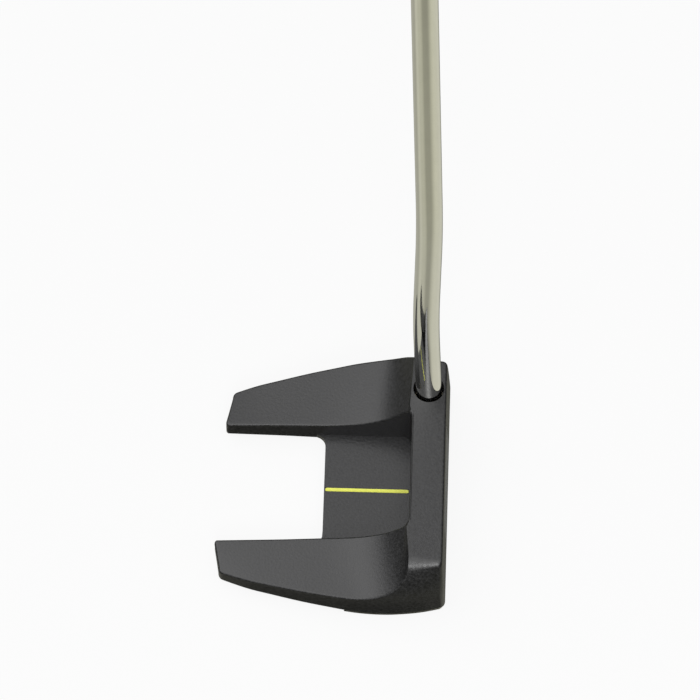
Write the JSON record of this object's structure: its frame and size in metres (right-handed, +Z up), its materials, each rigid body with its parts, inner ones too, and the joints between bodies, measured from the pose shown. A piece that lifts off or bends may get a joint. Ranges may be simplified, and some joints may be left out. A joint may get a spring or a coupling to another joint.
{
  "type": "mallet putter",
  "caption": "Right-handed mallet golf putter: fanged dark head with a recessed panel and yellow sight line, bent chrome shaft, flat-fronted rubber grip and screw-in sole weights.",
  "frame": {"origin": "on the flat sole, under the middle of the head", "axes": "+X is the direction of the shot, +Y is the heel side where the golfer stands, +Z is up, with the sole on z = 0 and the shaft leaning towards +Y at its lie angle"},
  "size_m": [0.0834, 0.371, 0.8317],
  "materials": {
    "head_black": "bead-blasted and anodised near-black, satin",
    "insert": "moulded grey urethane, satin",
    "adhesive": "double-sided adhesive sheet",
    "sight_line": "cured yellow paint, satin",
    "sole_steel": "brushed stainless steel",
    "screw_steel": "dark socket screws",
    "weight_steel": "turned stainless steel",
    "ring_rubber": "nitrile ring, matt",
    "shaft_chrome": "polished chrome plating",
    "epoxy": "cured grey epoxy",
    "plug_cork": "turned cork",
    "grip_rubber": "moulded rubber, fine texture",
    "tape_paper": "double-sided paper tape",
    "cap_rubber": "moulded rubber"
  },
  "bodies": {
    "club": {"head_body": "head_black", "face_insert": "insert", "insert_adhesive": "adhesive", "sight_line_fill": "sight_line", "sole_plate": "sole_steel", "plate_screw_1": "screw_steel", "plate_screw_2": "screw_steel", "plate_screw_3": "screw_steel", "plate_screw_4": "screw_steel", "shaft": "shaft_chrome", "shaft_epoxy": "epoxy", "shaft_tip_plug": "plug_cork", "grip": "grip_rubber", "grip_tape": "tape_paper", "grip_cap": "cap_rubber"},
    "heel_ring": {"heel_weight_ring": "ring_rubber"},
    "heel_screw_weight": {"heel_weight": "weight_steel"},
    "toe_ring": {"toe_weight_ring": "ring_rubber"},
    "toe_screw_weight": {"toe_weight": "weight_steel"}
  },
  "joints": [
    {"name": "heel_weight_out", "type": "slide", "parent": "club", "child": "heel_ring", "axis": [0, 0, -1], "range_m": [0, 0.0075]},
    {"name": "heel_weight_turn", "type": "hinge", "parent": "heel_ring", "child": "heel_screw_weight", "pos_m": [-0.005, 0.033, 0], "axis": [0, 0, -1], "range_deg": [0, 2160]},
    {"name": "toe_weight_out", "type": "slide", "parent": "club", "child": "toe_ring", "axis": [0, 0, -1], "range_m": [0, 0.0075]},
    {"name": "toe_weight_turn", "type": "hinge", "parent": "toe_ring", "child": "toe_screw_weight", "pos_m": [-0.005, -0.033, 0], "axis": [0, 0, -1], "range_deg": [0, 2160]}
  ],
  "couplings": [
    {"joint": "heel_weight_out", "follows": "heel_weight_turn", "m_per_rad": 0.00019894},
    {"joint": "toe_weight_out", "follows": "toe_weight_turn", "m_per_rad": 0.00019894}
  ]
}
